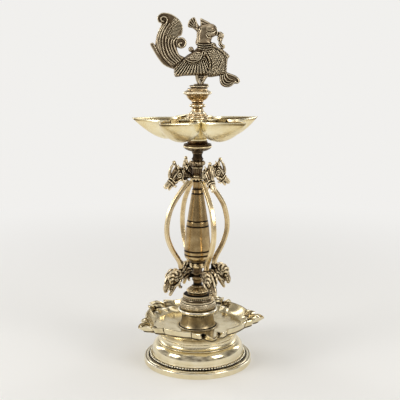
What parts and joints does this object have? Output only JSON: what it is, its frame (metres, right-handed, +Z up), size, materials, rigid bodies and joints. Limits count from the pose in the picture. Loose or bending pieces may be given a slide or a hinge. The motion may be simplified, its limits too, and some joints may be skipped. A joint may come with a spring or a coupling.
{
  "type": "oil lamp",
  "caption": "Standing brass oil lamp: domed foot, spouted tray, baluster stem with curved arms and animal heads, boat-shaped cups and a peacock finial.",
  "frame": {"origin": "middle of the foot's underside, on the surface that the lamp stands on", "axes": "+Z up along the stem, -Y towards the peacock's side that is seen, +X the way that the peacock faces"},
  "size_m": [0.2142, 0.2131, 0.5589],
  "materials": {
    "polished_brass": "polished, mirror-like with faint buffing marks",
    "pale_brass": "pale satin brass",
    "gold_brass": "warm polished brass",
    "antique_brass": "antique brass, dark in the hollows and bright on the edges",
    "steel": "plain threaded steel"
  },
  "bodies": {
    "base": {"foot": "polished_brass", "foot_collar": "pale_brass"},
    "tray": {"tray": "polished_brass"},
    "stem": {"tie_rod": "steel", "base_disc": "pale_brass", "granulated_ring": "antique_brass", "stepped_ring": "antique_brass", "lotus_bell": "antique_brass", "mask_collar": "antique_brass", "arm_block": "pale_brass", "column": "polished_brass", "clasp_collar": "pale_brass", "head_collar": "antique_brass", "lobed_knob": "antique_brass", "drip_pan": "antique_brass", "arm_1": "polished_brass", "horse_head_1": "antique_brass", "lion_mask_1": "antique_brass", "arm_2": "polished_brass", "horse_head_2": "antique_brass", "lion_mask_2": "antique_brass", "arm_3": "polished_brass", "horse_head_3": "antique_brass", "lion_mask_3": "antique_brass", "arm_4": "polished_brass", "horse_head_4": "antique_brass", "lion_mask_4": "antique_brass"},
    "cups": {"cup_hub": "pale_brass", "oil_cup_1": "pale_brass", "oil_cup_2": "pale_brass", "oil_cup_3": "pale_brass", "oil_cup_4": "pale_brass", "oil_cup_5": "pale_brass"},
    "finial": {"finial_pedestal": "gold_brass", "finial_stud": "steel", "peacock": "antique_brass"}
  },
  "joints": [
    {"name": "tray_lift", "type": "slide", "parent": "base", "child": "tray", "axis": [0, 0, 1], "range_m": [0, 0.04]},
    {"name": "stem_lift", "type": "slide", "parent": "tray", "child": "stem", "axis": [0, 0, 1], "range_m": [0, 0.04]},
    {"name": "cups_lift", "type": "slide", "parent": "stem", "child": "cups", "axis": [0, 0, 1], "range_m": [0, 0.03]},
    {"name": "finial_lift", "type": "slide", "parent": "cups", "child": "finial", "axis": [0, 0, 1], "range_m": [0, 0.03]}
  ]
}
